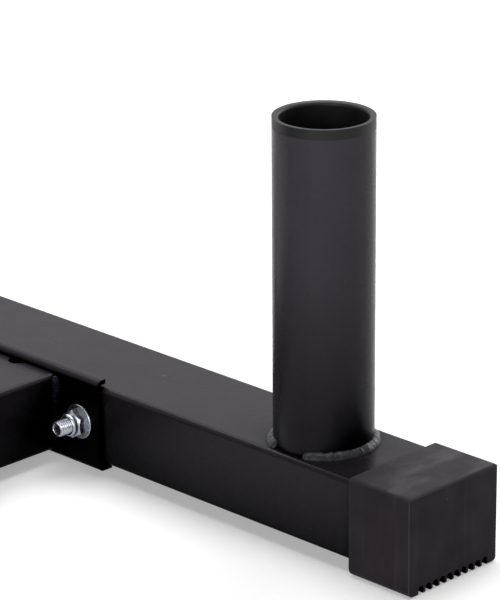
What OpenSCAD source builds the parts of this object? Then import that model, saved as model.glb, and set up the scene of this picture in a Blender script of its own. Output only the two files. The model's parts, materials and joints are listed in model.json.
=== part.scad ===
// Weight plate tree with two bar holders.
// Millimetres. The origin is on the floor under the middle of the cross beam.
// X runs along the cross beam, Y along the legs with the bar holders at the front (-Y), Z is up.

/* [Base] */
// Distance between the centre lines of the two legs
leg_spacing = 600; // [560:10:760]
// Length of each leg tube
leg_length = 650; // [620:10:760]
// Width of the leg and cross beam tube
tube_width = 70; // [68:1:80]
// Height of the leg and cross beam tube
tube_height = 50; // [48:1:60]
// Wall of every box tube
tube_wall = 2.5; // [2:0.25:4]
// Inner bend radius at the corners of every box tube
tube_bend = 0.5; // [0.5:0.25:3]
// Radius of the half-round vent notch at each end of the cross beam
vent_radius = 6; // [4:0.5:8]

/* [Boots] */
// Rubber under the leg, which sets the leg's height above the floor
boot_sole = 8.4; // [6:0.2:14]
// Rubber beside and over the leg
boot_wall = 3; // [2.5:0.5:5]
// Rubber over the end of the tube
boot_end = 5.5; // [4:0.5:9]
// Length of tube that a boot covers
boot_grip = 41; // [30:1:60]
// Radius of the boot's edges at its top
boot_edge = 3; // [1:0.5:4]
// Radius of the boot's two long edges at the floor
sole_edge = 5.5; // [3:0.5:6]
// Number of grooves in each sole
groove_count = 10; // [6:1:11]
// Distance from one sole groove to the next
groove_pitch = 5.8; // [5:0.1:6.4]
// Width of a sole groove
groove_width = 3.8; // [2:0.1:4]
// Depth of a sole groove, to its round top
groove_depth = 4.6; // [2.2:0.1:5]

/* [Leg saddles] */
// Length of the bent bracket along the leg
saddle_length = 146; // [142:2:200]
// Thickness of the bracket's plate
saddle_plate = 3; // [2:0.5:5]
// Play between the leg and the lips above and below it
saddle_play = 2; // [1:0.5:4]
// Inner bend radius of the bracket
saddle_bend = 3; // [2:0.5:5]
// Flat part of the upper lip, beyond the bend
upper_lip = 1; // [0.5:0.5:12]
// Flat part of the lower lip, beyond the bend
lower_lip = 5; // [0.5:0.5:12]
// Distance between the two bolts through a leg
leg_bolt_pitch = 114; // [110:1:122]

/* [Fasteners] */
// Thread diameter of every bolt
bolt_diameter = 10; // [8:2:10]
// Length of every bolt under its head
bolt_length = 95; // [92:1:110]
// Height of the bolt heads
head_height = 6.4; // [5:0.1:8]
// Distance across the flats of heads and nuts
hex_flats = 16; // [16:0.5:19]
// Height of a lock nut with its collar
nut_height = 10; // [8:0.5:12]
// Outer diameter of the washers
washer_diameter = 22; // [20:1:24]
// Thickness of the washers
washer_thickness = 2; // [1.5:0.1:3]
// Space round a bolt in its hole
hole_play = 0.5; // [0.3:0.1:1]

/* [Bar holders] */
// Distance from the front end of a leg to the axis of its holder
holder_inset = 97; // [80:1:170]
// Height of the holder tube above the leg
holder_height = 193; // [140:1:280]
// Wall of the holder tube
holder_wall = 2; // [1.5:0.25:2.5]
// Bore of the liner, for a bar sleeve of 50
liner_bore = 52; // [50.5:0.5:54]
// Wall of the liner
liner_wall = 1.8; // [1.2:0.2:2.4]
// Thickness of the liner's flange on the rim of the tube
liner_flange = 6; // [3:0.5:10]
// Lead-in radius at the mouth of the liner
liner_lead = 2; // [1:0.5:2.5]
// Leg of the weld bead at the foot of a holder
holder_bead = 4; // [3:0.5:5]

/* [Post] */
// Width of the post, along the legs
post_width = 50; // [44:1:54]
// Depth of the post, along the cross beam
post_depth = 70; // [60:1:80]
// Length of the post tube
post_length = 1070; // [1050:10:1300]
// Thickness of the bracket that carries the post
post_plate = 4; // [3:0.5:6]
// Length of that bracket along the cross beam
post_saddle_length = 172; // [166:2:220]
// How far its cheeks reach down over the cross beam
cheek_depth = 40; // [38:1:46]
// Distance between the two bolts through the cross beam
post_bolt_pitch = 120; // [104:2:136]
// Thickness of the gussets
gusset_plate = 5; // [3:0.5:8]
// Length of a gusset's foot
gusset_foot = 46; // [30:1:50]
// Height of a gusset
gusset_height = 80; // [50:2:140]
// Height of the post cap's domed head
post_cap_height = 7; // [5:0.5:12]

/* [Plate pegs] */
// Outer diameter of a peg, for plates with a 50 bore
peg_diameter = 48; // [44:0.5:49.5]
// Wall of a peg tube
peg_wall = 3; // [2.5:0.5:5]
// Length of a peg tube from its stop disc
peg_length = 205; // [120:5:230]
// Height of the lowest pegs' axes above the floor
low_peg_height = 360; // [340:5:400]
// Distance from the top of the post tube to the axes of the highest pegs
high_peg_drop = 92; // [60:1:160]
// Diameter of a stop disc
disc_diameter = 90; // [84:1:110]
// Thickness of a stop disc
disc_thickness = 5; // [3:0.5:8]
// Length of a peg cap's head
peg_cap_length = 7; // [4:0.5:12]

/* [Hidden] */
$fn = 64;

// Named clearances
boot_fit = 0.1;    // rubber to tube
liner_fit = 0.2;   // liner to holder tube
plug_fit = 0.2;    // plastic plugs to tubes
thread_fit = 0.05; // nut and insert to thread
washer_fit = 0.4;  // washer to thread
seat = 0.1;        // weld bead to a round face
cut = 1;           // how far a cutter reaches past what it cuts

// Small forms that pieces share
boot_corner = 1.5;   // radius of a boot's upright edges and of its end's edge at the floor
peg_bevel = 2.2;     // weld bevel at the root of a peg
disc_edge = 1;       // broken edge of a stop disc
insert_width = 1.5;  // wall of a lock nut's insert
insert_height = 2.4; // height of the groove that holds the insert
collar_lip = 0.7;    // metal over the insert
post_bend = 2;       // inner bend radius of the post's bracket
beam_bead = 3.5;     // leg of the beads on the cross beam
post_bead = 5;       // leg of the bead round the post
gusset_bead = 3;     // leg of the beads along the gussets
disc_bead = 4;       // leg of the beads behind the stop discs
gusset_clip = 1.6 * post_bead; // corner cut off a gusset, to clear the post's bead

// Heights and places that follow from the sizes above
tube_corner = tube_wall + tube_bend;
leg_top = boot_sole + tube_height;
leg_middle = boot_sole + tube_height / 2;
leg_x = leg_spacing / 2;
leg_end = leg_length / 2;
land_edge = min(0.6, (groove_pitch - groove_width) / 2 - 0.2);
web_outer = tube_width / 2 + saddle_plate;
saddle_corner = saddle_bend + saddle_plate;
saddle_height = tube_height + 2 * (saddle_play + saddle_plate);
beam_length = leg_spacing - 2 * web_outer;
bolt_radius = bolt_diameter / 2;
hole_radius = bolt_radius + hole_play;
leg_grip = tube_width + saddle_plate;
post_grip = tube_width + 2 * post_plate;
holder_bore = liner_bore + 2 * (liner_wall + liner_fit);
holder_diameter = holder_bore + 2 * holder_wall;
holder_y = holder_inset - leg_end;
post_foot = leg_top + post_plate;
post_top = post_foot + post_length;
high_peg_height = post_top - high_peg_drop;
middle_peg_height = (low_peg_height + high_peg_height) / 2;
PEG_HEIGHTS = [low_peg_height, middle_peg_height, high_peg_height];

// Colours of the finishes
PAINT = [0.16, 0.16, 0.17];
BEAD = [0.22, 0.22, 0.24];
RUBBER = [0.13, 0.12, 0.12];
PLASTIC = [0.08, 0.08, 0.09];
ZINC = [0.72, 0.74, 0.76];
NYLON = [0.20, 0.28, 0.45];

// Flat outlines

module rounded_rect(width, height, radius) {
    square([width - 2 * radius, height], center = true);
    square([width, height - 2 * radius], center = true);
    for (x = [-1, 1], y = [-1, 1])
        translate([x * (width / 2 - radius), y * (height / 2 - radius)]) circle(radius);
}

// A quarter of a disc in the corner between two faces: the section of a weld bead
module quarter(size) {
    intersection() {
        circle(size);
        square(size);
    }
}

// Solids that repeat

// Box tube along Z, standing on the XY plane
module box_tube(width, height, length) {
    linear_extrude(length)
        difference() {
            rounded_rect(width, height, tube_corner);
            rounded_rect(width - 2 * tube_wall, height - 2 * tube_wall, tube_bend);
        }
}

// Hexagon with its outer corners turned off, from z = 0 to its height
module hex_block(height) {
    corner_radius = hex_flats / 2 / cos(30);
    face_radius = hex_flats * 0.47;
    slope = 1.35; // radius that the turned corners gain per height
    intersection() {
        cylinder(h = height, r = corner_radius, $fn = 6);
        cylinder(h = height, r1 = face_radius + slope * height, r2 = face_radius);
    }
}

// Bolt along +Z, its head below z = 0
module bolt() {
    tip = 1;
    mirror([0, 0, 1]) hex_block(head_height);
    cylinder(h = bolt_length - tip, r = bolt_radius);
    translate([0, 0, bolt_length - tip]) cylinder(h = tip, r1 = bolt_radius, r2 = bolt_radius - tip);
}

module washer() {
    edge = 0.3;
    inner = bolt_radius + washer_fit;
    outer = washer_diameter / 2;
    rotate_extrude()
        polygon([
            [inner, 0], [outer - edge, 0], [outer, edge], [outer, washer_thickness - edge],
            [outer - edge, washer_thickness], [inner, washer_thickness]
        ]);
}

// Section of the space that holds a nut's insert, with the given play
module insert_section(play) {
    translate([0, nut_height - collar_lip - insert_height + play])
        square([bolt_radius + thread_fit + insert_width - play, insert_height - 2 * play]);
}

// Lock nut from z = 0: a hexagon with a round collar that holds the insert
module nut() {
    hex_height = nut_height * 0.64;
    collar_radius = hex_flats * 0.45;
    collar_round = 2;
    mouth_radius = bolt_radius + insert_width * 0.7;
    difference() {
        union() {
            hex_block(hex_height);
            rotate_extrude()
                intersection() {
                    translate([0, nut_height / 2])
                        rounded_rect(2 * collar_radius, nut_height, collar_round);
                    square([collar_radius, nut_height]);
                }
        }
        translate([0, 0, -cut]) cylinder(h = nut_height + 2 * cut, r = bolt_radius + thread_fit);
        rotate_extrude() insert_section(0);
        translate([0, 0, nut_height - collar_lip])
            cylinder(h = collar_lip + cut, r = mouth_radius);
    }
}

module nut_insert() {
    rotate_extrude()
        difference() {
            insert_section(thread_fit);
            square([bolt_radius + thread_fit, nut_height]);
        }
}

// Places of the fasteners: z = 0 is the face under the first washer, and the bolt runs along +Z
module at_leg_bolts() {
    for (side = [0, 1], y = [-1, 1])
        mirror([side, 0, 0])
            translate([leg_x + tube_width / 2, y * leg_bolt_pitch / 2, leg_middle])
                rotate([0, -90, 0]) children();
}

module at_post_bolts() {
    for (x = [-1, 1])
        translate([x * post_bolt_pitch / 2, -post_grip / 2, leg_middle])
            rotate([-90, 0, 0]) children();
}

module bolt_under_washer() {
    translate([0, 0, -washer_thickness]) bolt();
}

module washer_pair(grip) {
    translate([0, 0, -washer_thickness]) washer();
    translate([0, 0, grip]) washer();
}

module lift_to_nut(grip) {
    translate([0, 0, grip + washer_thickness]) children();
}

// Base

module right_leg() {
    color(PAINT)
        difference() {
            translate([leg_x, leg_end, leg_middle])
                rotate([90, 0, 0]) box_tube(tube_width, tube_height, leg_length);
            for (y = [-1, 1])
                translate([leg_x - tube_width, y * leg_bolt_pitch / 2, leg_middle])
                    rotate([0, 90, 0]) cylinder(h = 2 * tube_width, r = hole_radius);
        }
}

module left_leg() {
    mirror([1, 0, 0]) right_leg();
}

module cross_beam() {
    color(PAINT)
        difference() {
            translate([-beam_length / 2, 0, leg_middle])
                rotate([90, 0, 90]) box_tube(tube_width, tube_height, beam_length);
            for (x = [-1, 1]) {
                translate([x * beam_length / 2, 0, leg_middle])
                    cylinder(h = tube_height, r = vent_radius);
                translate([x * post_bolt_pitch / 2, tube_width, leg_middle])
                    rotate([90, 0, 0]) cylinder(h = 2 * tube_width, r = hole_radius);
            }
        }
}

// Bent C bracket: the web lies on the leg's inner side, the lips reach over and under the leg
module saddle_section() {
    difference() {
        rounded_rect(2 * web_outer, saddle_height, saddle_corner);
        rounded_rect(tube_width, saddle_height - 2 * saddle_plate, saddle_bend);
        translate([saddle_corner + upper_lip - web_outer, 0])
            square([2 * web_outer, saddle_height]);
        translate([saddle_corner + lower_lip - web_outer, -saddle_height])
            square([2 * web_outer, saddle_height]);
    }
}

module right_saddle() {
    color(PAINT)
        difference() {
            translate([leg_x, saddle_length / 2, leg_middle])
                rotate([90, 0, 0]) linear_extrude(saddle_length) saddle_section();
            for (y = [-1, 1])
                translate([leg_x - tube_width, y * leg_bolt_pitch / 2, leg_middle])
                    rotate([0, 90, 0]) cylinder(h = tube_width, r = hole_radius);
        }
}

module left_saddle() {
    mirror([1, 0, 0]) right_saddle();
}

// Outline of a boot standing on the floor, with one radius at the top and another at the floor
module boot_section(width, height, low_radius) {
    translate([-width / 2, low_radius]) square([width, height - boot_edge - low_radius]);
    for (side = [-1, 1]) {
        translate([side * (width / 2 - boot_edge), height - boot_edge]) circle(boot_edge);
        translate([side * (width / 2 - low_radius), low_radius]) circle(low_radius);
    }
    translate([boot_edge - width / 2, low_radius])
        square([width - 2 * boot_edge, height - low_radius]);
    translate([low_radius - width / 2, 0]) square([width - 2 * low_radius, 2 * low_radius]);
}

// Section of a sole groove: a round top, and a mouth whose edges are rounded
module groove_section() {
    radius = groove_width / 2;
    mouth = radius + land_edge;
    translate([0, groove_depth - radius]) circle(radius, $fn = 24);
    translate([-radius, -cut]) square([groove_width, groove_depth - radius + cut]);
    difference() {
        translate([-mouth, -cut]) square([2 * mouth, land_edge + cut]);
        for (side = [-1, 1])
            translate([side * mouth, land_edge]) circle(land_edge, $fn = 16);
    }
}

// Moulded rubber boot with a socket for the leg. Its closed end faces -Y.
module boot() {
    width = tube_width + 2 * (boot_fit + boot_wall);
    height = boot_sole + tube_height + boot_fit + boot_wall;
    length = boot_end + boot_grip;
    socket_height = tube_height + boot_fit;
    difference() {
        intersection() {
            translate([0, length, 0])
                rotate([90, 0, 0]) linear_extrude(length) boot_section(width, height, sole_edge);
            translate([-width / 2, length, 0])
                rotate([90, 0, 90])
                    linear_extrude(width) boot_section(2 * length, height, boot_corner);
            translate([0, length, 0])
                linear_extrude(height) rounded_rect(width, 2 * length, boot_corner);
        }
        translate([0, length + cut, boot_sole + socket_height / 2])
            rotate([90, 0, 0]) linear_extrude(boot_grip + cut)
                rounded_rect(tube_width + 2 * boot_fit, socket_height, tube_corner);
        for (i = [0 : groove_count - 1])
            translate([(i - (groove_count - 1) / 2) * groove_pitch, length + cut, 0])
                rotate([90, 0, 0]) linear_extrude(length + 2 * cut) groove_section();
    }
}

module front_right_boot() {
    color(RUBBER) translate([leg_x, -leg_end - boot_end, 0]) boot();
}

module front_left_boot() {
    mirror([1, 0, 0]) front_right_boot();
}

module rear_right_boot() {
    mirror([0, 1, 0]) front_right_boot();
}

module rear_left_boot() {
    mirror([1, 0, 0]) rear_right_boot();
}

module leg_bolts() {
    color(ZINC) at_leg_bolts() bolt_under_washer();
}

module leg_washers() {
    color(ZINC) at_leg_bolts() washer_pair(leg_grip);
}

module leg_nuts() {
    color(ZINC) at_leg_bolts() lift_to_nut(leg_grip) nut();
}

module nut_inserts() {
    color(NYLON) {
        at_leg_bolts() lift_to_nut(leg_grip) nut_insert();
        at_post_bolts() lift_to_nut(post_grip) nut_insert();
    }
}

// Bar holders

module at_right_holder() {
    translate([leg_x, holder_y, leg_top]) children();
}

module right_bar_holder() {
    color(PAINT)
        at_right_holder()
            difference() {
                cylinder(h = holder_height, d = holder_diameter);
                translate([0, 0, -cut]) cylinder(h = holder_height + 2 * cut, d = holder_bore);
            }
}

module left_bar_holder() {
    mirror([1, 0, 0]) right_bar_holder();
}

// Liner with a flange on the rim of the tube and a rounded mouth
module right_holder_liner() {
    inner = liner_bore / 2;
    top = holder_height + liner_flange;
    color(PLASTIC)
        at_right_holder()
            rotate_extrude()
                difference() {
                    union() {
                        translate([inner, 0]) square([liner_wall, top]);
                        translate([inner, holder_height])
                            square([holder_diameter / 2 - inner, liner_flange]);
                    }
                    difference() {
                        translate([inner, top - liner_lead]) square(liner_lead);
                        translate([inner + liner_lead, top - liner_lead]) circle(liner_lead);
                    }
                }
}

module left_holder_liner() {
    mirror([1, 0, 0]) right_holder_liner();
}

// Beads before and behind each holder. They stop where they would run off the flat of the leg's top.
module holder_welds() {
    inner = holder_diameter / 2 + seat;
    flat = tube_width / 2 - tube_corner;
    least_gap = 10;
    gap = max(least_gap, acos(min(1, flat / (inner + holder_bead))));
    color(BEAD)
        for (side = [0, 1], turn = [0, 180])
            mirror([side, 0, 0])
                at_right_holder()
                    rotate([0, 0, turn + gap])
                        rotate_extrude(angle = 180 - 2 * gap)
                            translate([inner, 0]) quarter(holder_bead);
}

// Upright beads between the cross beam's sides and the webs of the saddles
module beam_welds() {
    length = tube_height - 2 * tube_corner;
    color(BEAD)
        for (side = [0, 1], y = [0, 1])
            mirror([side, 0, 0])
                mirror([0, y, 0])
                    translate([beam_length / 2, tube_width / 2, leg_middle - length / 2])
                        rotate([0, 0, 90]) linear_extrude(length) quarter(beam_bead);
}

// Post

// Inverted U bracket over the cross beam
module post_saddle() {
    height = 2 * (cheek_depth + post_plate);
    color(PAINT)
        difference() {
            translate([-post_saddle_length / 2, 0, post_foot - height / 2])
                rotate([90, 0, 90]) linear_extrude(post_saddle_length)
                    difference() {
                        rounded_rect(post_grip, height, post_bend + post_plate);
                        rounded_rect(tube_width, height - 2 * post_plate, post_bend);
                        translate([-post_grip, -height]) square([2 * post_grip, height]);
                    }
            for (x = [-1, 1])
                translate([x * post_bolt_pitch / 2, post_grip, leg_middle])
                    rotate([90, 0, 0]) cylinder(h = 2 * post_grip, r = hole_radius);
        }
}

module post() {
    color(PAINT)
        translate([0, 0, post_foot]) box_tube(post_depth, post_width, post_length);
}

// Triangular plate with a clipped inner corner, which leaves room for the post's bead
module right_gusset() {
    end = 12;
    color(PAINT)
        translate([post_depth / 2, gusset_plate / 2, post_foot])
            rotate([90, 0, 0]) linear_extrude(gusset_plate)
                polygon([
                    [gusset_clip, 0], [gusset_foot, 0], [gusset_foot, end],
                    [end, gusset_height], [0, gusset_height], [0, gusset_clip]
                ]);
}

module left_gusset() {
    mirror([1, 0, 0]) right_gusset();
}

// Plastic cap with a domed head and a hollow plug in the post
module post_cap() {
    round_edge = post_cap_height * 0.6;
    plug_depth = 22;
    plug_wall = 2;
    plug_x = post_depth - 2 * (tube_wall + plug_fit);
    plug_y = post_width - 2 * (tube_wall + plug_fit);
    color(PLASTIC)
        translate([0, 0, post_top]) {
            intersection() {
                linear_extrude(post_cap_height) rounded_rect(post_depth, post_width, tube_corner);
                translate([0, post_width / 2, 0])
                    rotate([90, 0, 0]) linear_extrude(post_width)
                        rounded_rect(post_depth, 2 * post_cap_height, round_edge);
                translate([-post_depth / 2, 0, 0])
                    rotate([90, 0, 90]) linear_extrude(post_depth)
                        rounded_rect(post_width, 2 * post_cap_height, round_edge);
            }
            translate([0, 0, -plug_depth])
                linear_extrude(plug_depth)
                    difference() {
                        rounded_rect(plug_x, plug_y, tube_bend);
                        rounded_rect(plug_x - 2 * plug_wall, plug_y - 2 * plug_wall, tube_bend);
                    }
        }
}

module post_bolts() {
    color(ZINC) at_post_bolts() bolt_under_washer();
}

module post_washers() {
    color(ZINC) at_post_bolts() washer_pair(post_grip);
}

module post_nuts() {
    color(ZINC) at_post_bolts() lift_to_nut(post_grip) nut();
}

// Bead round the foot of the post, and beads on both sides of each gusset's foot
module post_welds() {
    side_x = post_depth - 2 * tube_corner;
    side_y = post_width - 2 * tube_corner;
    color(BEAD) {
        translate([0, 0, post_foot])
            for (turn = [0 : 3]) {
                run = turn % 2 == 0 ? side_y : side_x;
                reach = turn % 2 == 0 ? post_depth / 2 : post_width / 2;
                rotate([0, 0, 90 * turn]) {
                    translate([reach, run / 2, 0])
                        rotate([90, 0, 0]) linear_extrude(run) quarter(post_bead);
                    translate([reach - tube_corner, run / 2, 0])
                        rotate_extrude(angle = 90)
                            translate([tube_corner, 0]) quarter(post_bead);
                }
            }
        for (side = [0, 1], y = [0, 1])
            mirror([side, 0, 0])
                mirror([0, y, 0])
                    translate([post_depth / 2 + gusset_clip, gusset_plate / 2, post_foot])
                        rotate([90, 0, 90])
                            linear_extrude(gusset_foot - gusset_clip) quarter(gusset_bead);
    }
}

// Plate pegs

// Turns a shape that was made along +Z so that it runs along +X from the post's face
module at_right_peg(height) {
    translate([post_depth / 2, 0, height])
        rotate([0, 90, 0]) children();
}

// Peg tube with a weld bevel at its root
module right_peg(height) {
    outer = peg_diameter / 2;
    inner = outer - peg_wall;
    color(PAINT)
        at_right_peg(height)
            translate([0, 0, disc_thickness])
                rotate_extrude()
                    polygon([
                        [inner, 0], [outer - peg_bevel, 0], [outer, peg_bevel],
                        [outer, peg_length], [inner, peg_length]
                    ]);
}

// Stop disc against the post, with broken edges
module right_disc(height) {
    outer = disc_diameter / 2;
    color(PAINT)
        at_right_peg(height)
            rotate_extrude()
                polygon([
                    [0, 0], [outer - disc_edge, 0], [outer, disc_edge],
                    [outer, disc_thickness - disc_edge],
                    [outer - disc_edge, disc_thickness], [0, disc_thickness]
                ]);
}

// End cap with a rounded head and a finned plug in the peg
module right_cap(height) {
    head_radius = peg_diameter / 2 - plug_fit;
    plug_radius = peg_diameter / 2 - peg_wall - plug_fit;
    round_edge = peg_cap_length * 0.6;
    core = plug_radius - 2;
    fin = 2;
    fin_pitch = 6;
    fin_count = 3;
    color(PLASTIC)
        at_right_peg(height)
            translate([0, 0, disc_thickness + peg_length])
                rotate_extrude() {
                    intersection() {
                        rounded_rect(2 * head_radius, 2 * peg_cap_length, round_edge);
                        square([head_radius, peg_cap_length]);
                    }
                    translate([0, -fin_count * fin_pitch]) square([core, fin_count * fin_pitch]);
                    for (i = [1 : fin_count])
                        translate([0, -i * fin_pitch]) square([plug_radius, fin]);
                }
}

module low_right_peg() { right_peg(low_peg_height); }
module low_left_peg() { mirror([1, 0, 0]) right_peg(low_peg_height); }
module middle_right_peg() { right_peg(middle_peg_height); }
module middle_left_peg() { mirror([1, 0, 0]) right_peg(middle_peg_height); }
module high_right_peg() { right_peg(high_peg_height); }
module high_left_peg() { mirror([1, 0, 0]) right_peg(high_peg_height); }

module low_right_disc() { right_disc(low_peg_height); }
module low_left_disc() { mirror([1, 0, 0]) right_disc(low_peg_height); }
module middle_right_disc() { right_disc(middle_peg_height); }
module middle_left_disc() { mirror([1, 0, 0]) right_disc(middle_peg_height); }
module high_right_disc() { right_disc(high_peg_height); }
module high_left_disc() { mirror([1, 0, 0]) right_disc(high_peg_height); }

module low_right_cap() { right_cap(low_peg_height); }
module low_left_cap() { mirror([1, 0, 0]) right_cap(low_peg_height); }
module middle_right_cap() { right_cap(middle_peg_height); }
module middle_left_cap() { mirror([1, 0, 0]) right_cap(middle_peg_height); }
module high_right_cap() { right_cap(high_peg_height); }
module high_left_cap() { mirror([1, 0, 0]) right_cap(high_peg_height); }

// Flush beads in the bevels at the roots of the pegs
module peg_welds() {
    outer = peg_diameter / 2;
    color(BEAD)
        for (side = [0, 1], height = PEG_HEIGHTS)
            mirror([side, 0, 0])
                at_right_peg(height)
                    translate([0, 0, disc_thickness])
                        rotate_extrude()
                            polygon([
                                [outer - peg_bevel + seat, 0], [outer, 0], [outer, peg_bevel - seat]
                            ]);
}

// Upright beads behind the stop discs, along the sides of the post
module disc_welds() {
    reach = post_width / 2 + disc_bead;
    run = 2 * sqrt(pow(disc_diameter / 2 - disc_edge, 2) - pow(reach, 2));
    color(BEAD)
        for (side = [0, 1], y = [0, 1], height = PEG_HEIGHTS)
            mirror([side, 0, 0])
                mirror([0, y, 0])
                    translate([post_depth / 2, post_width / 2, height - run / 2])
                        rotate([0, 0, 90]) linear_extrude(run) quarter(disc_bead);
}

right_leg();
left_leg();
cross_beam();
right_saddle();
left_saddle();
front_right_boot();
front_left_boot();
rear_right_boot();
rear_left_boot();
leg_bolts();
leg_washers();
leg_nuts();
nut_inserts();
right_bar_holder();
left_bar_holder();
right_holder_liner();
left_holder_liner();
holder_welds();
beam_welds();
post_saddle();
post();
right_gusset();
left_gusset();
post_cap();
post_bolts();
post_washers();
post_nuts();
post_welds();
low_right_peg();
low_left_peg();
middle_right_peg();
middle_left_peg();
high_right_peg();
high_left_peg();
low_right_disc();
low_left_disc();
middle_right_disc();
middle_left_disc();
high_right_disc();
high_left_disc();
low_right_cap();
low_left_cap();
middle_right_cap();
middle_left_cap();
high_right_cap();
high_left_cap();
peg_welds();
disc_welds();
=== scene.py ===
import json
import math

import bmesh
import bpy
from mathutils import Matrix, Vector, noise

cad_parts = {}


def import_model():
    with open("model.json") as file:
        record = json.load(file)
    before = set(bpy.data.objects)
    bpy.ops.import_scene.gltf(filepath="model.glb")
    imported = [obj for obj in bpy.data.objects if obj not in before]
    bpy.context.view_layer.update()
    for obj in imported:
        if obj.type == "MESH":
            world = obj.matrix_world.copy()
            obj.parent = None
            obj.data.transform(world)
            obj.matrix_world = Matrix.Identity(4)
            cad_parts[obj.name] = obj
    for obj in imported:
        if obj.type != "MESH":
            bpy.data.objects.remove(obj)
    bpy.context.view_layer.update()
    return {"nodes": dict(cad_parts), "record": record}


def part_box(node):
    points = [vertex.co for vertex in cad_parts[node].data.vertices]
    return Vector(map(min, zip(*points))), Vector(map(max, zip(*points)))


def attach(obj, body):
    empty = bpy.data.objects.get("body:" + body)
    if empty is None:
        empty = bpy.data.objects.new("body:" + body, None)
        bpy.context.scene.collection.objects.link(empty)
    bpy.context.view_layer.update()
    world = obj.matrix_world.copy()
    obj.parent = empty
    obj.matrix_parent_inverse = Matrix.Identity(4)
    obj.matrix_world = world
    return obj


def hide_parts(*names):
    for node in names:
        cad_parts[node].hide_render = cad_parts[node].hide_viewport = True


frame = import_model()
NODES = frame["nodes"]
MM = 0.001
X, Y, Z = Vector((1, 0, 0)), Vector((0, 1, 0)), Vector((0, 0, 1))
SIDES = (("right", 1), ("left", -1))    # a side's name, and the sign of its X
LEVELS = ("low", "middle", "high")      # of the pegs
BOOTS = ("front_right", "front_left", "rear_right", "rear_left")

# Sizes of the solids that the dressed pieces stand for
BOLT_RADIUS = 5 * MM
BOLT_LENGTH = 95 * MM
HEAD_HEIGHT = 6.4 * MM
HEX_FLATS = 16 * MM
WASHER = 2 * MM
LEG_BOLT_PITCH = 114 * MM
POST_BOLT_PITCH = 120 * MM
TUBE_CORNER = 3 * MM
GUSSET_CLIP = 8 * MM
DISC_EDGE = 1 * MM
PEG_BEVEL = 2.2 * MM
LEG_X = 300 * MM
SADDLE_BEND = 6 * MM      # outer radius
GROOVES = 10              # in each boot's sole
GROOVE_PITCH = 5.8 * MM
GROOVE_WIDTH = 3.8 * MM
GROOVE_DEPTH = 4.6 * MM

# Sizes of the dressed pieces
TIGHT_BEND = 4 * MM       # outer radius of the saddles' bends
SLOT_PITCH = 6.1 * MM     # of the grooves in the soles
SLOT_WIDTH = 4.4 * MM
SLOT_DEPTH = 5.6 * MM
HOLDER_BEAD = 4 * MM
BEAM_BEAD = 3.6 * MM
UNDER_BEAD = 3 * MM
BEAD_DROP = 2.4 * MM      # of the beam's side beads, past its lower edge
BEAD_STOP = 0.8 * MM      # and short of its upper edge
POST_BEAD = 5 * MM
GUSSET_BEAD = 3 * MM
DISC_BEAD = 4 * MM


# Shader helpers

CORNER_SAMPLES = 8
EDGE_SAMPLES = 6


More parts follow.
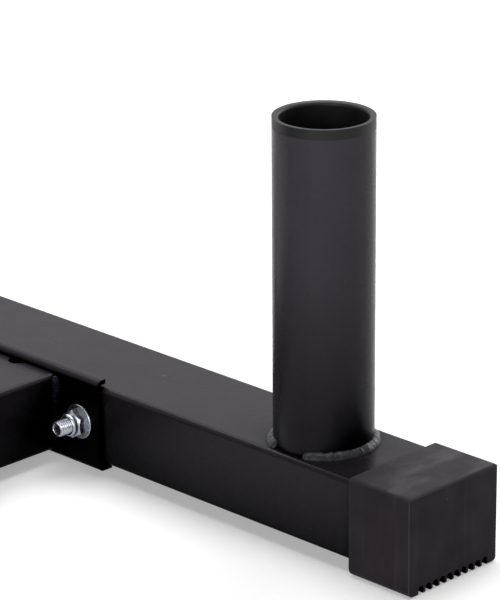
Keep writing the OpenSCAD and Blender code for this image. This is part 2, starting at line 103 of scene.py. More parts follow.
class Shader:
    """A material or world with short calls for the nodes that the finishes below need."""

    def __init__(self, name, store=bpy.data.materials):
        self.material = store.new(name)
        self.material.use_nodes = True
        self.tree = self.material.node_tree
        self.surface = next(n for n in self.tree.nodes if n.type in ("BSDF_PRINCIPLED", "BACKGROUND"))
        self.place = self.tree.nodes.new("ShaderNodeTexCoord").outputs["Object"]

    def node(self, kind, **settings):
        made = self.tree.nodes.new(kind)
        for key, value in settings.items():
            setattr(made, key, value)
        return made

    def link(self, source, target):
        self.tree.links.new(source, target)

    def noise(self, scale, detail=2.0, stretch=(1, 1, 1)):
        """Noise from 0 to 1, with scale waves to the metre."""
        mapping = self.node("ShaderNodeMapping")
        mapping.inputs["Scale"].default_value = stretch
        self.link(self.place, mapping.inputs["Vector"])
        made = self.node("ShaderNodeTexNoise")
        made.inputs["Scale"].default_value = scale
        made.inputs["Detail"].default_value = detail
        self.link(mapping.outputs["Vector"], made.inputs["Vector"])
        return made.outputs["Fac"]

    def ramp(self, value, low, high, start=0.3, end=0.7):
        """A number that goes from low to high as value goes from start to end."""
        made = self.node("ShaderNodeMapRange")
        for key, number in (("From Min", start), ("From Max", end), ("To Min", low), ("To Max", high)):
            made.inputs[key].default_value = number
        self.link(value, made.inputs["Value"])
        return made.outputs["Result"]

    def blend(self, value, first, second, start=0.3, end=0.7):
        """A colour that goes from first to second as value goes from start to end."""
        made = self.node("ShaderNodeMix", data_type="RGBA")
        self.link(self.ramp(value, 0, 1, start, end), made.inputs["Factor"])
        for socket, colour in (("A", first), ("B", second)):
            target = next(s for s in made.inputs if s.name == socket and s.type == "RGBA")
            if isinstance(colour, tuple):
                target.default_value = (*colour, 1)
            else:
                self.link(colour, target)
        return next(s for s in made.outputs if s.type == "RGBA")

    def mask(self, *bounds):
        """1 where each given measure lies within its bounds; a bound is (measure, low, high, soft)."""
        total = None
        for measure, low, high, soft in bounds:
            above = self.ramp(measure, 0, 1, low - soft, low + soft)
            below = self.ramp(measure, 1, 0, high - soft, high + soft)
            for part in (above, below):
                total = part if total is None else self.math("MULTIPLY", total, part)
        return total

    def math(self, operation, *values):
        made = self.node("ShaderNodeMath", operation=operation)
        for socket, value in zip(made.inputs, values):
            if isinstance(value, (int, float)):
                socket.default_value = value
            else:
                self.link(value, socket)
        return made.outputs[0]

    def parts(self, vector):
        made = self.node("ShaderNodeSeparateXYZ")
        self.link(vector, made.inputs[0])
        return made.outputs

    def facing(self):
        """The three parts of the direction that the surface faces."""
        return self.parts(self.node("ShaderNodeNewGeometry").outputs["Normal"])

    def levelness(self, upright, level):
        """A number that goes from upright on upright faces to level on level ones."""
        return self.ramp(self.math("ABSOLUTE", self.facing()[2]), upright, level, start=0.15, end=0.75)

    def specks(self, spacing, share):
        """1 on small round specks, about one to a cube of the given spacing where share is 1."""
        cells = self.node("ShaderNodeTexVoronoi")
        cells.inputs["Scale"].default_value = 1 / spacing
        self.link(self.place, cells.inputs["Vector"])
        small = self.ramp(cells.outputs["Distance"], 1, 0, start=0.03, end=0.07)
        chance = self.parts(cells.outputs["Color"])[0]
        return self.math("MULTIPLY", small, self.ramp(chance, 1, 0, share - 0.01, share + 0.01))

    def bump(self, value, depth, under=None):
        """Bump whose value of 1 stands depth metres high, on top of an earlier one."""
        made = self.node("ShaderNodeBump")
        made.inputs["Strength"].default_value = 1
        made.inputs["Distance"].default_value = depth
        self.link(value, made.inputs["Height"])
        if under is not None:
            self.link(under, made.inputs["Normal"])
        return made.outputs["Normal"]

    def openness(self, reach):
        """How open the surroundings are within a reach, from 0 in a tight corner to 1."""
        made = self.node("ShaderNodeAmbientOcclusion", samples=CORNER_SAMPLES)
        made.inputs["Distance"].default_value = reach
        return made.outputs["AO"]

    def soft_edge(self, radius):
        """Normals that round off cut edges."""
        made = self.node("ShaderNodeBevel", samples=EDGE_SAMPLES)
        made.inputs["Radius"].default_value = radius
        return made.outputs["Normal"]

    def sees_stage(self):
        """1 for rays that show the background: from the camera, in a reflection or through glass."""
        rays = self.node("ShaderNodeLightPath").outputs
        shown = self.math("MAXIMUM", rays["Is Camera Ray"], rays["Is Glossy Ray"])
        return self.math("MAXIMUM", shown, rays["Is Transmission Ray"])

    def set(self, **values):
        """Sets inputs of the surface: spaces in their names are underscores, and a tuple is a colour."""
        for key, value in values.items():
            socket = self.surface.inputs[key.replace("_", " ")]
            if isinstance(value, bpy.types.NodeSocket):
                self.link(value, socket)
            elif isinstance(value, tuple):
                socket.default_value = (*value, 1)
            else:
                socket.default_value = value
        return self.material


# Finishes. Colours are linear, and dark and light are the ends of a coat's slow mottling.

BLACK = (0, 0, 0)
WHITE = (1, 1, 1)
COAT_DARK = (0.0121, 0.0094, 0.0146)
COAT_LIGHT = (0.0166, 0.0131, 0.0197)
COAT_DUST = (0.10, 0.10, 0.10)
COAT_TINT = (0.96, 0.91, 1.0)         # of its reflections
COAT_GLOSS = 0.11                     # specular level on open faces
COAT_GRAIN = 14                       # mottles to the metre
CORNER_REACH = 120 * MM               # how far a face looks for others that make a corner with it, for the painted corner shade
SHADED_CORNER_GLOSS = 0.2                    # share of its gloss that a coat keeps in a corner: painted shade on its reflections
PEEL = 0.020 * MM                     # height of the orange peel
COAT_EDGE = 0.5 * MM                  # radius that cut edges seem to have
BEAD_EDGE = 0.3 * MM

RUBBER_DARK = (0.0168, 0.0122, 0.0166)
RUBBER_LIGHT = (0.0252, 0.0190, 0.0256)
RUBBER_STREAK = (0.036, 0.0255, 0.0300)
RUBBER_TOP = (0.0185, 0.0150, 0.0190)
RUBBER_SCUFF = (0.060, 0.050, 0.058)
UPRIGHT_EDGE_HIGHLIGHT = (0.050, 0.040, 0.047)
RUBBER_DUST = (0.09, 0.085, 0.08)
GROOVE_SHADE = (0.0008, 0.0008, 0.0008)
RUBBER_TINT = (1.0, 0.90, 0.97)
GROOVE_SOFT = 0.1 * MM                # blur of the grooves' outline


def powder_coat(name, dark, light, peel=PEEL, edge=COAT_EDGE, gloss_level=COAT_GLOSS, shade=None,
                grain=COAT_GRAIN):
    """Black powder coat with a fine orange peel, and painted shade that darkens and dulls it in corners.
    It is black where shade is 1, a further painted shade.
    shade, and gloss_level where it isn't a number, are functions of the shader."""
    s = Shader(name)
    colour = s.blend(s.noise(grain, detail=3), dark, light)
    colour = s.blend(s.specks(spacing=19 * MM, share=0.15), colour, COAT_DUST, start=0, end=1)
    # painted shade: the colour goes black in corners
    openness = s.openness(CORNER_REACH)
    colour = s.blend(openness, BLACK, colour, start=0.50, end=0.80)
    if shade:
        colour = s.blend(shade(s), colour, BLACK, start=0, end=1)
    if callable(gloss_level):
        gloss_level = gloss_level(s)
    # painted shade on the reflections: less gloss in corners
    corner_shade_gloss = s.ramp(openness, SHADED_CORNER_GLOSS, 1, start=0.50, end=0.70)
    rough = s.ramp(s.noise(90, detail=4), 0.25, 0.31)
    normal = s.bump(s.noise(620), peel, s.soft_edge(edge))
    normal = s.bump(s.noise(2600, detail=1), peel * 0.15, normal)
    return s.set(Base_Color=colour, Roughness=rough, Normal=normal, Specular_Tint=COAT_TINT,
                 Specular_IOR_Level=s.math("MULTIPLY", gloss_level, corner_shade_gloss))


def rubber():
    """Moulded rubber: faint mould streaks up the sides, pale scuffs on top, painted highlights on
    upright edges, dust specks, and painted shade that keeps the grooves black."""
    s = Shader("boot_rubber")
    facing = s.facing()
    colour = s.blend(s.noise(45, detail=4), RUBBER_DARK, RUBBER_LIGHT)
    streaks = s.noise(170, stretch=(1, 1, 0.08))
    colour = s.blend(streaks, colour, RUBBER_STREAK, start=0.50, end=0.85)
    top = s.ramp(facing[2], 0, 1, start=0.8, end=0.95)
    colour = s.blend(top, colour, RUBBER_TOP, start=0, end=1)
    rubbed = s.ramp(s.noise(30, detail=5, stretch=(1, 2.6, 1)), 0, 1, start=0.48, end=0.72)
    colour = s.blend(s.math("MULTIPLY", top, rubbed), colour, RUBBER_SCUFF, start=0, end=1)
    # painted highlight along the rounded upright edges
    upright_edge = s.math("ABSOLUTE", s.math("MULTIPLY", facing[0], facing[1]))
    colour = s.blend(upright_edge, colour, UPRIGHT_EDGE_HIGHLIGHT, start=0.15, end=0.45)
    colour = s.blend(s.specks(spacing=7 * MM, share=0.35), colour, RUBBER_DUST, start=0, end=1)

    place = s.parts(s.place)
    from_leg = s.math("SUBTRACT", s.math("ABSOLUTE", place[0]), LEG_X)
    reach = GROOVES * SLOT_PITCH / 2
    # painted shade in the grooves: they go black, fully rough and without reflection
    groove_shade_mask = s.mask((place[2], -1 * MM, SLOT_DEPTH + GROOVE_SOFT, GROOVE_SOFT),
                    (from_leg, -reach, reach, GROOVE_SOFT),
                    (facing[1], -0.5, 0.5, 0.05))
    colour = s.blend(groove_shade_mask, colour, GROOVE_SHADE, start=0, end=1)
    outside = s.ramp(groove_shade_mask, 1, 0, start=0, end=1)
    rough = s.math("MAXIMUM", s.ramp(s.noise(60, detail=3), 0.55, 0.72), groove_shade_mask)
    # painted shade on the sides: upright faces reflect less than level ones
    gloss_level = s.math("MULTIPLY", s.levelness(0.08, 0.16), outside)
    normal = s.bump(s.noise(1500), 0.02 * MM, s.soft_edge(0.6 * MM))
    normal = s.bump(streaks, 0.05 * MM, normal)
    return s.set(Base_Color=colour, Roughness=rough, Normal=normal, Specular_Tint=RUBBER_TINT,
                 Specular_IOR_Level=gloss_level)


def zinc():
    """Zinc plate, a little uneven."""
    s = Shader("zinc_plate")
    colour = s.blend(s.noise(160), (0.30, 0.33, 0.385), (0.445, 0.46, 0.485))
    rough = s.ramp(s.noise(700, detail=3), 0.20, 0.34)
    normal = s.bump(s.noise(1800), 0.006 * MM, s.soft_edge(0.2 * MM))
    return s.set(Base_Color=colour, Metallic=1.0, Roughness=rough, Normal=normal)


def nylon():
    """The dark blue nylon of the lock nuts."""
    s = Shader("nylon")
    colour = s.blend(s.noise(300), (0.006, 0.009, 0.024), (0.010, 0.015, 0.038))
    return s.set(Base_Color=colour, Roughness=s.ramp(s.noise(500), 0.4, 0.5))


def moulded_plastic(name, dark, light, rough, peel, gloss_level):
    """Black plastic with the fine skin of its mould."""
    s = Shader(name)
    colour = s.blend(s.noise(70, detail=3), dark, light)
    roughness = s.ramp(s.noise(120, detail=3), rough - 0.05, rough + 0.06)
    normal = s.bump(s.noise(2200, detail=3), peel, s.soft_edge(0.4 * MM))
    return s.set(Base_Color=colour, Roughness=roughness, Specular_IOR_Level=gloss_level, Normal=normal)


def holder_shade(s):
    """Painted shade that darkens a holder's coat towards its foot, most where it faces along the leg."""
    height = s.parts(s.place)[2]
    faded = s.ramp(height, 0.8, 0, start=75 * MM, end=200 * MM)
    along = s.ramp(s.math("ABSOLUTE", s.facing()[1]), 0, 1, start=0.5, end=0.95)
    close = s.math("MULTIPLY", s.ramp(height, 1, 0, start=65 * MM, end=125 * MM), along)
    return s.math("MAXIMUM", faded, close)


def beam_bead_shade(s):
    """Painted shade on the cross beam's beads: 1 at their foot, 0 at their top."""
    return s.ramp(s.parts(s.place)[2], 1, 0, start=22 * MM, end=52 * MM)


FINISHES = {
    "paint": powder_coat("powder_coat", COAT_DARK, COAT_LIGHT),
    "weld": powder_coat("coated_weld", (0.008, 0.0082, 0.0115), (0.050, 0.051, 0.068),
                        peel=0.090 * MM, edge=BEAD_EDGE, gloss_level=0.17, grain=600),
    "rubber": rubber(),
    "zinc": zinc(),
    "nylon": nylon(),
    "liner_plastic": moulded_plastic("liner_plastic", (0.009, 0.0085, 0.010), (0.014, 0.0135, 0.015),
                                     rough=0.42, peel=0.006 * MM, gloss_level=0.2),
    "cap_plastic": moulded_plastic("cap_plastic", (0.012, 0.012, 0.013), (0.020, 0.020, 0.021),
                                   rough=0.50, peel=0.020 * MM, gloss_level=0.5),
}

# Copies of the coat with painted light and shade, for pieces whose place lights or darkens them
# painted shade: a darker copy of the weld coat that goes black and less glossy towards the beads' foot
SHADED_BEAM_BEAD_COAT = powder_coat("shaded_inner_weld", (0.004, 0.0035, 0.010), (0.008, 0.0070, 0.018), edge=BEAD_EDGE,
                             gloss_level=lambda s: s.ramp(beam_bead_shade(s), 0.07, 0.02, start=0, end=1),
                             shade=beam_bead_shade)
# painted shade: black on the saddles' upright faces, which also reflect less than level ones
SHADED_SADDLE_COAT = powder_coat("shaded_saddle_coat", COAT_DARK, COAT_LIGHT,
                          gloss_level=lambda s: s.levelness(0.035, COAT_GLOSS),
                          shade=lambda s: s.levelness(1, 0))
# painted light: a lighter, less glossy copy of the coat for the upright tubes, with painted shade towards
# their foot
LIT_HOLDER_COAT = powder_coat("lit_holder_coat", (0.0430, 0.0380, 0.0500), (0.0540, 0.0485, 0.0620),
                          gloss_level=0.075, shade=holder_shade)
NODE_FINISHES = {"right_bar_holder": LIT_HOLDER_COAT, "left_bar_holder": LIT_HOLDER_COAT}


def finish_nodes():
    """Gives every node of the frame its own finish, or that of its material slot."""
    for part in frame["record"]["subparts"]:
        node = NODES[part["node"]]
        finish = NODE_FINISHES.get(part["node"], FINISHES[part["material_slot"]])
        for place in node.material_slots:
            place.material = finish


# Mesh helpers

SHARP = math.radians(38)    # faces that meet at more than this keep their edge
TOUCH = 0.001 * MM          # points nearer than this are one


def stack(rings, closed=False):
    """Points and faces of the skin through rings of equal length. Its ends get lids, or meet."""
    points = [point for ring in rings for point in ring]
    count, turns = len(rings[0]), len(rings)
    faces = []
    for row in range(turns if closed else turns - 1):
        here, after = row * count, (row + 1) % turns * count
        for i in range(count):
            j = (i + 1) % count
            faces.append((here + i, here + j, after + j, after + i))
    if not closed:
        faces.append(tuple(reversed(range(count))))
        faces.append(tuple(range(len(points) - count, len(points))))
    return points, faces


def add(name, data):
    """A new object in the scene."""
    made = bpy.data.objects.new(name, data)
    bpy.context.scene.collection.objects.link(made)
    return made


def piece(name, slot, parts, *nodes, finish=None):
    """One object from several closed skins. It stands for the named nodes and rides on the frame."""
    points, faces = [], []
    for part_points, part_faces in parts:
        start = len(points)
        points += part_points
        faces += [tuple(start + i for i in face) for face in part_faces]
    mesh = bpy.data.meshes.new(name)
    mesh.from_pydata(points, [], faces)
    mesh.validate()
    shape = bmesh.new()
    shape.from_mesh(mesh)
    bmesh.ops.recalc_face_normals(shape, faces=shape.faces)
    shape.to_mesh(mesh)
    shape.free()
    mesh.shade_smooth()
    mesh.set_sharp_from_angle(angle=SHARP)
    mesh.materials.append(finish or FINISHES[slot])
    made = add(name, mesh)
    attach(made, "root")
    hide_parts(*nodes)
    return made


def reshaped(name, slot, node, move, finish=None):
    """A piece that stands for a node: its own mesh, with every point where move puts it."""
    shape = bmesh.new()
    shape.from_mesh(NODES[node].data)
    bmesh.ops.remove_doubles(shape, verts=shape.verts, dist=TOUCH)
    shape.verts.index_update()
    points = [move(vert.co.copy()) for vert in shape.verts]
    faces = [tuple(vert.index for vert in face.verts) for face in shape.faces]
    shape.free()
    made = piece(name, slot, [(points, faces)], node, finish=finish)
    made.modifiers.new("flat_faces", "WEIGHTED_NORMAL").keep_sharp = True


def corners(node):
    low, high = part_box(node)
    return Vector(low), Vector(high)


def ends_along_y(low, high):
    """Where a box ends towards +Y and towards -Y, each with its direction."""
    return (high.y, Y), (low.y, -Y)


# Saddles and boots

def saddle_plates():
    """The saddles with their bends drawn tighter: each point round a bend moves in with its arc."""
    for side, sign in SIDES:
        low, high = corners(f"{side}_saddle")
        web = low.x if sign > 0 else high.x

        def tightened(point):
            out = (web - point.x) * sign + SADDLE_BEND
            for edge, up in ((high.z, 1), (low.z, -1)):
                over = (point.z - edge) * up + SADDLE_BEND
                if out > -TOUCH and over > -TOUCH:
                    radius = math.hypot(out, over)
                    share = (radius - SADDLE_BEND + TIGHT_BEND) / radius
                    return Vector((web + sign * (TIGHT_BEND - out * share), point.y,
                                   edge - up * (TIGHT_BEND - over * share)))
            return point

        reshaped(f"{side}_saddle_plate", "paint", f"{side}_saddle", tightened, SHADED_SADDLE_COAT)


def boot_mouldings():
    """The boots with the grooves of their soles drawn wider, deeper and a little further apart."""
    reach = GROOVES * GROOVE_PITCH / 2
    round_top = GROOVE_DEPTH - GROOVE_WIDTH / 2
    for place in BOOTS:
        low, high = corners(f"{place}_boot")
        middle = (low.x + high.x) / 2

        def opened(point):
            across = point.x - middle
            if abs(across) > reach or point.z > GROOVE_DEPTH + TOUCH:
                return point
            row = round(across / GROOVE_PITCH - 0.5) + 0.5
            beside = (across - row * GROOVE_PITCH) * SLOT_WIDTH / GROOVE_WIDTH
            rise = SLOT_DEPTH - GROOVE_DEPTH if point.z > round_top - TOUCH else 0
            return Vector((middle + row * SLOT_PITCH + beside, point.y, point.z + rise))

        reshaped(f"{place}_boot_moulding", "rubber", f"{place}_boot", opened)


# Weld beads. A size without a unit is a share of the bead's own size.

RIPPLE = 1.8 * MM         # from one ripple to the next
RIPPLE_HEIGHT = 0.18 * MM
RIPPLE_LAG = 0.42         # of a ripple's crown behind its toes, in ripples
RIPPLE_MEAN = 0.6         # height in a ripple that lies on the bead's smooth form
TOE_RIPPLE = 0.35         # share of the ripples' height that is left at the toes
LUMPS = ((5 * MM, 0.10), (1.7 * MM, 0.05))    # length and height of the lumps
TOE_LENGTH = 2.3 * MM     # of the waves in the toes
TOE_HEIGHT = 0.06
BULGE = 0.5               # roundness: 0 is a flat chamfer, 1 a quarter round
RUN_OUT = 0.9             # length of the rounded ends
END_SIZE = 0.15           # what is left at the very end
ROOT = 0.25               # how far the hidden side lies beyond the corner
FLUSH_START = 0.98        # where the skin of a flush bead starts from its corner
FLUSH_REACH = 1.08        # and how far it spreads
FLUSH_CROWN = 0.10 * MM
FLUSH_LIFT = 0.3          # share of its lumps and ripples
BEAD_STEP = 0.45 * MM     # from one section to the next
BEAD_POINTS = 11          # round a section
LEAST_STEPS = 4           # in the shortest run


def bead(stations, size, flush=False, closed=False):
    """Rippled bead through stations of (corner, first, second): the corner between two faces, and
    the directions in which the bead spreads over them. A flush bead only fills its bevel."""
    lengths = [0.0]
    for (before, _, _), (after, _, _) in zip(stations, stations[1:]):
        lengths.append(lengths[-1] + (after - before).length)
    total = lengths[-1]
    ripples = max(1, round(total / RIPPLE)) / total
    sections = []
    for travel, (corner, first, second) in zip(lengths, stations):
        end = 1.0 if closed else min(1.0, min(travel, total - travel) / (RUN_OUT * size))
        taper = END_SIZE + (1 - END_SIZE) * math.sqrt(1 - (1 - end) ** 2)
        lump = sum(noise.noise(corner / length) * height for length, height in LUMPS)
        section = [corner - ROOT * size * taper * (first + second)]
        for k in range(BEAD_POINTS):
            share = k / (BEAD_POINTS - 1)
            arch = math.sin(math.pi * share)
            wave = abs(math.cos(math.pi * (travel * ripples + RIPPLE_LAG * arch))) - RIPPLE_MEAN
            ripple = RIPPLE_HEIGHT * wave * (TOE_RIPPLE + (1 - TOE_RIPPLE) * arch)
            toe = noise.noise((corner + share * size * first) / TOE_LENGTH) * TOE_HEIGHT
            lift = (size * (lump + toe) + ripple) * taper
            if flush:
                out = size * FLUSH_START + arch * (FLUSH_CROWN + FLUSH_LIFT * lift)
                up = share * size * FLUSH_REACH
            else:
                angle = share * math.pi / 2
                reach = size * taper + lift
                out = reach * (BULGE * math.cos(angle) + (1 - BULGE) * (1 - share))
                up = reach * (BULGE * math.sin(angle) + (1 - BULGE) * share)
            section.append(corner + out * first + up * second)
        sections.append(section)
    return stack(sections, closed)


def straight(start, end, first, second):
    """Stations along a straight corner."""
    count = max(LEAST_STEPS, round((end - start).length / BEAD_STEP))
    return [(start.lerp(end, i / count), first, second) for i in range(count + 1)]


def turned(centre, radius, first_angle, last_angle, up=Z, level=X, across=Y):
    """Stations round a circle about the direction up, from one angle to the other."""
    sweep = last_angle - first_angle
    count = max(LEAST_STEPS, round(abs(sweep) * radius / BEAD_STEP))
    stations = []
    for i in range(count + 1):
        angle = first_angle + sweep * i / count
        out = math.cos(angle) * level + math.sin(angle) * across
        stations.append((centre + radius * out, out, up))
    return stations


def holder_beads():
    """Two arcs at each holder's foot, which stop where the leg's top rounds off."""
    parts = []
    for side, _ in SIDES:
        low, high = corners(f"{side}_bar_holder")
        leg_low, leg_high = corners(f"{side}_leg")
        radius = (high.x - low.x) / 2
        foot = Vector(((low.x + high.x) / 2, (low.y + high.y) / 2, low.z))
        flat = (leg_high.x - leg_low.x) / 2 - TUBE_CORNER
        gap = math.acos(min(1, flat / (radius + HOLDER_BEAD)))
        for start in (0, math.pi):
            parts.append(bead(turned(foot, radius, start + gap, start + math.pi - gap), HOLDER_BEAD))
    piece("holder_weld_beads", "weld", parts, "holder_welds")


def beam_beads():
    """A bead up each side of the beam's ends, and one under each end that they run into."""
    low, high = corners("cross_beam")
    parts = []
    for x, inward in ((high.x, -X), (low.x, X)):
        for y, outward in ends_along_y(low, high):
            bottom, top = Vector((x, y, low.z - BEAD_DROP)), Vector((x, y, high.z - BEAD_STOP))
            parts.append(bead(straight(bottom, top, outward, inward), BEAM_BEAD))
        front, back = Vector((x, low.y, low.z)), Vector((x, high.y, low.z))
        parts.append(bead(straight(front, back, -Z, inward), UNDER_BEAD))
    piece("beam_weld_beads", "weld", parts, "beam_welds", finish=SHADED_BEAM_BEAD_COAT)


def post_beads():
    """A bead round the post's foot, and one along each side of the gussets' feet."""
    low, high = corners("post")
    reach = Vector((high.x - TUBE_CORNER, high.y - TUBE_CORNER, 0))
    signs = ((1, 1), (-1, 1), (-1, -1), (1, -1))
    loop = []
    for turn, (sx, sy) in enumerate(signs):
        centre = Vector((sx * reach.x, sy * reach.y, low.z))
        arc = turned(centre, TUBE_CORNER, turn * math.pi / 2, (turn + 1) * math.pi / 2)
        nx, ny = signs[(turn + 1) % len(signs)]
        after = Vector((nx * reach.x, ny * reach.y, low.z))
        out = arc[-1][1]
        loop += arc[:-1]
        loop += straight(arc[-1][0], after + TUBE_CORNER * out, out, Z)[:-1]
    parts = [bead(loop, POST_BEAD, closed=True)]
    for side, sign in SIDES:
        plate_low, plate_high = corners(f"{side}_gusset")
        near, far = (plate_low.x, plate_high.x) if sign > 0 else (plate_high.x, plate_low.x)
        for y, outward in ends_along_y(plate_low, plate_high):
            start, end = Vector((near + sign * GUSSET_CLIP, y, low.z)), Vector((far, y, low.z))
            parts.append(bead(straight(start, end, outward, Z), GUSSET_BEAD))
    piece("post_weld_beads", "weld", parts, "post_welds")


def disc_beads():
    """A bead up each side of the post behind each stop disc."""
    post_low, post_high = corners("post")
    parts = []
    for level in LEVELS:
        for side, sign in SIDES:
            low, high = corners(f"{level}_{side}_disc")
            middle, radius = (low.z + high.z) / 2, (high.z - low.z) / 2 - DISC_EDGE
            half = math.sqrt(radius ** 2 - (post_high.y + DISC_BEAD) ** 2)
            x = sign * post_high.x
            for y, outward in ends_along_y(post_low, post_high):
                start, end = Vector((x, y, middle - half)), Vector((x, y, middle + half))
                parts.append(bead(straight(start, end, outward, -sign * X), DISC_BEAD))
    piece("disc_weld_beads", "weld", parts, "disc_welds")


def peg_beads():
    """A bead that fills the bevel round each peg's root."""
    parts = []
    for level in LEVELS:
        for side, sign in SIDES:
            low, high = corners(f"{level}_{side}_peg")
            root = low.x if sign > 0 else high.x
            radius = (high.z - low.z) / 2
            centre = Vector((root, 0, (low.z + high.z) / 2))
            loop = turned(centre, radius - PEG_BEVEL, 0, math.tau, sign * X, Y, Z)[:-1]
            parts.append(bead(loop, PEG_BEVEL, flush=True, closed=True))
    piece("peg_weld_beads", "weld", parts, "peg_welds")


# Bolts

HEX_TURNED = 0.94       # radius of the turned top of a head, as a share of half its flats
HEX_SLOPE = 1.35        # radius that the turned corners gain per height
THREAD_PITCH = 1.5 * MM
THREAD_DEPTH = 0.85 * MM
THREAD_LENGTH = 15 * MM
THREAD_STEPS = 8        # rings to a pitch
FLANK_SLOPE = 1.35      # of the thread's sides
CREST = 0.12            # what the slope spends on the flat crest
TIP = 1.1 * MM          # length of the tip's chamfer
TIP_SLOPE = 0.9         # radius that it loses per length
ROUND = 48              # points round a bolt

# Dishes in head and tip, as (share of the radius there, depth)
HEAD_DISH = ((0.60, 0.35 * MM), (0.72, 0))
TIP_DISH = ((0.66, 0), (0.60, 0.35 * MM), (0.30, 0.55 * MM))


def ring(radius, height):
    """A ring of points about Z; radius and height are numbers or functions of the angle."""
    points = []
    for i in range(ROUND):
        angle = math.tau * i / ROUND
        r = radius(angle) if callable(radius) else radius
        z = height(angle) if callable(height) else height
        points.append(Vector((r * math.cos(angle), r * math.sin(angle), z)))
    return points


def hex_radius(angle):
    """Distance from a hexagon's middle to its edge."""
    return HEX_FLATS / 2 / math.cos((angle + math.pi / 6) % (math.pi / 3) - math.pi / 6)


def thread_radius(height, angle):
    """Distance from a bolt's middle to its thread, or to the tip's chamfer."""
    turn = (height / THREAD_PITCH - angle / math.tau) % 1
    flank = abs(2 * turn - 1)
    depth = THREAD_DEPTH * min(1, max(0, FLANK_SLOPE * flank - CREST))
    chamfer = BOLT_RADIUS - max(0, height - BOLT_LENGTH + TIP) * TIP_SLOPE
    return min(BOLT_RADIUS - depth, chamfer)


def bolt():
    """Rings of a bolt along Z: its head below z = 0, its rolled thread and the dished tip."""
    top = HEX_TURNED * HEX_FLATS / 2
    rings = [ring(top * share, depth - HEAD_HEIGHT) for share, depth in HEAD_DISH]
    rings += [
        ring(top, -HEAD_HEIGHT),
        ring(hex_radius, lambda a: (hex_radius(a) - top) / HEX_SLOPE - HEAD_HEIGHT),
        ring(hex_radius, 0),
        ring(BOLT_RADIUS, 0),
        ring(BOLT_RADIUS, BOLT_LENGTH - THREAD_LENGTH),
    ]
    steps = round(THREAD_LENGTH / THREAD_PITCH * THREAD_STEPS)
    for i in range(1, steps + 1):
        height = BOLT_LENGTH - THREAD_LENGTH * (1 - i / steps)
        rings.append(ring(lambda a: thread_radius(height, a), height))
    rings += [ring(BOLT_RADIUS * share, BOLT_LENGTH - depth) for share, depth in TIP_DISH]
    return rings


def bolts(name, places, node):
    """Bolts at places of (point under the head, direction)."""
    rings = bolt()
    parts = []
    for point, along in places:
        turn = Matrix.Translation(point) @ along.to_track_quat("Z", "Y").to_matrix().to_4x4()
        parts.append(stack([[turn @ p for p in one] for one in rings]))
    piece(name, "zinc", parts, node)


def all_bolts():
    """The bolts through legs and saddles, from outside inwards, and those through the post's foot."""
    leg_low, leg_high = corners("right_leg")
    middle = (leg_low.z + leg_high.z) / 2
    outer = leg_high.x + WASHER
    rows = (-LEG_BOLT_PITCH / 2, LEG_BOLT_PITCH / 2)
    leg_places = [(Vector((-s.x * outer, y, middle)), s) for s in (X, -X) for y in rows]
    bolts("leg_bolt_set", leg_places, "leg_bolts")
    saddle_low, _ = corners("post_saddle")
    front = saddle_low.y - WASHER
    post_places = [(Vector((x, front, middle)), Y) for x in (-POST_BOLT_PITCH / 2, POST_BOLT_PITCH / 2)]
    bolts("post_bolt_set", post_places, "post_bolts")


# Stage, light and camera, in metres and watts

FLOOR_HALF = 6.0
FLOOR_COLOUR = (0.72, 0.72, 0.72)
FAR_FLOOR = (0.12, 0.12, 0.12)
FLOOR_GLOW = 0.32               # near the object, where the floor keeps its shadow; 1 is white
FADE = (1.2, 3.2)               # where the floor turns from its near look to its far one
WORLD_LIGHT = 0.08              # strength of the white world as a light

# name, place, target, width and height, power
LAMPS = (
    ("overhead", (0.7, 0.5, 2.8), (0.2, 0, 0.1), (2.8, 2.8), 120),
    ("left", (-1.9, -0.7, 0.6), (0.3, -0.25, 0.1), (1.4, 0.9), 13),
    ("right", (2.4, -0.3, 0.9), (0.3, -0.2, 0.2), (1.4, 0.9), 13),
    ("front", (-1.4, -1.4, 0.5), (0.3, -0.2, 0.2), (1.4, 0.9), 10),
)

# The camera that gives the photograph's view, found from the object's edges
EYE = Vector((-1.0284, -1.4897, 0.8096))
AZIMUTH = math.radians(-45.1364)
ELEVATION = math.radians(19.9207)
ROLL = math.radians(-0.4005)
LENS = 201.58                   # mm, on a sensor of SENSOR mm
SENSOR = 36
CLIP = (0.05, 60)


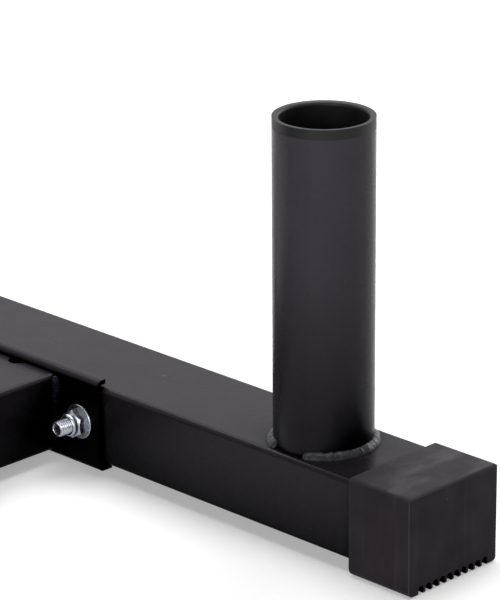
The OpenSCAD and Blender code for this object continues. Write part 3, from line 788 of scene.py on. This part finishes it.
def floor():
    """A pale floor that camera rays see as white, and that keeps the object's soft shadow."""
    mesh = bpy.data.meshes.new("floor")
    outline = [(x * FLOOR_HALF, y * FLOOR_HALF, 0) for x, y in ((-1, -1), (1, -1), (1, 1), (-1, 1))]
    mesh.from_pydata(outline, [], [(0, 1, 2, 3)])
    made = add("floor", mesh)
    s = Shader("floor")
    measure = s.node("ShaderNodeVectorMath", operation="LENGTH")
    s.link(s.place, measure.inputs[0])
    away = measure.outputs["Value"]
    s.set(Base_Color=s.blend(away, FLOOR_COLOUR, FAR_FLOOR, *FADE), Roughness=0.9, Specular_IOR_Level=0.0,
          Emission_Color=WHITE,
          Emission_Strength=s.math("MULTIPLY", s.sees_stage(), s.ramp(away, FLOOR_GLOW, 1, *FADE)))
    mesh.materials.append(s.material)


def world():
    """A world that is white to look at and faint as a light."""
    s = Shader("studio", bpy.data.worlds)
    bpy.context.scene.world = s.set(Color=WHITE, Strength=s.ramp(s.sees_stage(), WORLD_LIGHT, 1, 0, 1))


def area_light(name, place, target, size, power):
    """A rectangular lamp at a place that shines on a target."""
    data = bpy.data.lights.new(name, "AREA")
    data.shape, data.size, data.size_y = "RECTANGLE", *size
    data.energy = power
    made = add(name, data)
    made.location = place
    made.rotation_euler = (Vector(target) - Vector(place)).to_track_quat("-Z", "Y").to_euler()


def camera():
    """The scene's camera, turned by its three angles."""
    back = Vector((
        math.sin(AZIMUTH) * math.cos(ELEVATION),
        -math.cos(AZIMUTH) * math.cos(ELEVATION),
        math.sin(ELEVATION),
    ))
    level = Vector((math.cos(AZIMUTH), math.sin(AZIMUTH), 0))
    upright = back.cross(level)
    right = math.cos(ROLL) * level + math.sin(ROLL) * upright
    up = math.cos(ROLL) * upright - math.sin(ROLL) * level
    data = bpy.data.cameras.new("camera")
    data.sensor_width = SENSOR
    data.lens = LENS
    data.clip_start, data.clip_end = CLIP
    made = add("camera", data)
    made.matrix_world = Matrix.Translation(EYE) @ Matrix((right, up, back)).transposed().to_4x4()
    bpy.context.scene.camera = made


finish_nodes()
saddle_plates()
boot_mouldings()
holder_beads()
beam_beads()
post_beads()
disc_beads()
peg_beads()
all_bolts()
floor()
world()
for lamp in LAMPS:
    area_light(*lamp)
camera()
bpy.context.scene.view_settings.view_transform = "Standard"
